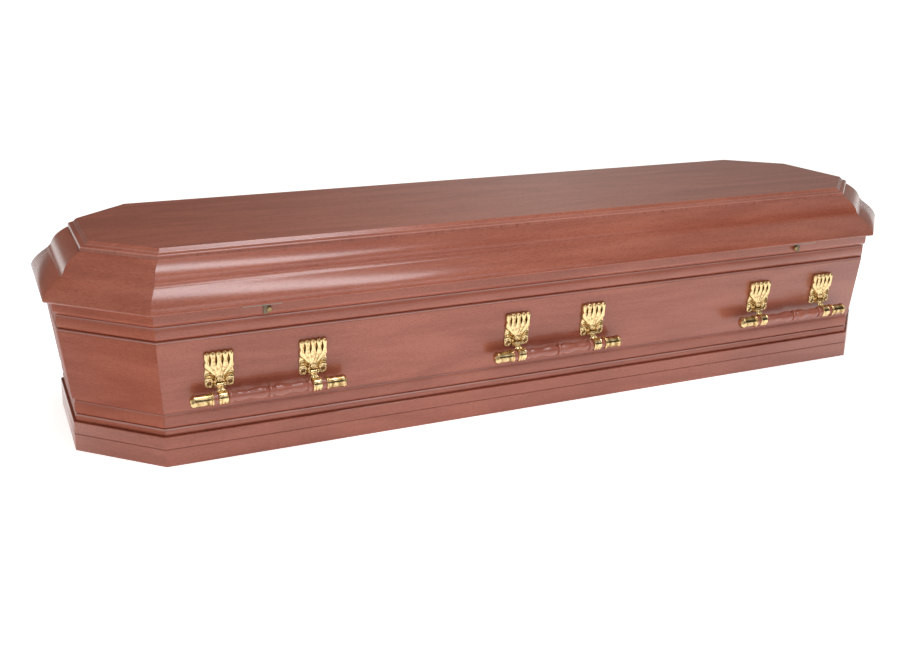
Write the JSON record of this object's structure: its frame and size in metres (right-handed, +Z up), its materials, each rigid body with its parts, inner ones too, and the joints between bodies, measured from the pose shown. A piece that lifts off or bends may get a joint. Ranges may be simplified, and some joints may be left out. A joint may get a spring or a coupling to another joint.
{
  "type": "wooden coffin",
  "caption": "Eight-sided panelled wooden coffin with canted moulded walls, a lift-off double-wave lid, swing-bar side handles and lid catches.",
  "frame": {"origin": "middle of the underside, on the surface that the coffin stands on", "axes": "+X along the length, +Y across the width towards the back, +Z up"},
  "size_m": [2.0088, 0.64, 0.4085],
  "materials": {
    "mahogany": "reddish brown mahogany stain under satin lacquer",
    "turned_wood": "dark reddish brown stain under gloss lacquer",
    "gold": "bright polished gold plate",
    "bronze": "dull bronze with bright screw heads"
  },
  "bodies": {
    "coffin": {"front_wall": "mahogany", "front_right_wall": "mahogany", "right_end_wall": "mahogany", "back_right_wall": "mahogany", "back_wall": "mahogany", "back_left_wall": "mahogany", "left_end_wall": "mahogany", "front_left_wall": "mahogany", "plinth": "mahogany", "floor_board": "mahogany", "lid_frame": "mahogany", "lid_top_board": "mahogany", "front_left_handle_left_plate": "gold", "front_left_handle_right_plate": "gold", "front_middle_handle_left_plate": "gold", "front_middle_handle_right_plate": "gold", "front_right_handle_left_plate": "gold", "front_right_handle_right_plate": "gold", "front_left_catch": "bronze", "front_right_catch": "bronze", "back_left_handle_left_plate": "gold", "back_left_handle_right_plate": "gold", "back_middle_handle_left_plate": "gold", "back_middle_handle_right_plate": "gold", "back_right_handle_left_plate": "gold", "back_right_handle_right_plate": "gold", "back_left_catch": "bronze", "back_right_catch": "bronze"},
    "front_left_handle": {"front_left_handle_left_arm": "gold", "front_left_handle_right_arm": "gold", "front_left_handle_bar": "turned_wood", "front_left_handle_left_tip": "gold", "front_left_handle_right_tip": "gold"},
    "front_middle_handle": {"front_middle_handle_left_arm": "gold", "front_middle_handle_right_arm": "gold", "front_middle_handle_bar": "turned_wood", "front_middle_handle_left_tip": "gold", "front_middle_handle_right_tip": "gold"},
    "front_right_handle": {"front_right_handle_left_arm": "gold", "front_right_handle_right_arm": "gold", "front_right_handle_bar": "turned_wood", "front_right_handle_left_tip": "gold", "front_right_handle_right_tip": "gold"},
    "back_left_handle": {"back_left_handle_left_arm": "gold", "back_left_handle_right_arm": "gold", "back_left_handle_bar": "turned_wood", "back_left_handle_left_tip": "gold", "back_left_handle_right_tip": "gold"},
    "back_middle_handle": {"back_middle_handle_left_arm": "gold", "back_middle_handle_right_arm": "gold", "back_middle_handle_bar": "turned_wood", "back_middle_handle_left_tip": "gold", "back_middle_handle_right_tip": "gold"},
    "back_right_handle": {"back_right_handle_left_arm": "gold", "back_right_handle_right_arm": "gold", "back_right_handle_bar": "turned_wood", "back_right_handle_left_tip": "gold", "back_right_handle_right_tip": "gold"}
  },
  "joints": [
    {"name": "front_left_handle_swing", "type": "hinge", "parent": "coffin", "child": "front_left_handle", "pos_m": [-0.625, -0.28911, 0.15419], "axis": [-1, 0, 0], "range_deg": [0, 55]},
    {"name": "front_middle_handle_swing", "type": "hinge", "parent": "coffin", "child": "front_middle_handle", "pos_m": [0, -0.28911, 0.15419], "axis": [-1, 0, 0], "range_deg": [0, 55]},
    {"name": "front_right_handle_swing", "type": "hinge", "parent": "coffin", "child": "front_right_handle", "pos_m": [0.625, -0.28911, 0.15419], "axis": [-1, 0, 0], "range_deg": [0, 55]},
    {"name": "back_left_handle_swing", "type": "hinge", "parent": "coffin", "child": "back_left_handle", "pos_m": [0.625, 0.28911, 0.15419], "axis": [1, 0, 0], "range_deg": [0, 55]},
    {"name": "back_middle_handle_swing", "type": "hinge", "parent": "coffin", "child": "back_middle_handle", "pos_m": [0, 0.28911, 0.15419], "axis": [1, 0, 0], "range_deg": [0, 55]},
    {"name": "back_right_handle_swing", "type": "hinge", "parent": "coffin", "child": "back_right_handle", "pos_m": [-0.625, 0.28911, 0.15419], "axis": [1, 0, 0], "range_deg": [0, 55]}
  ]
}
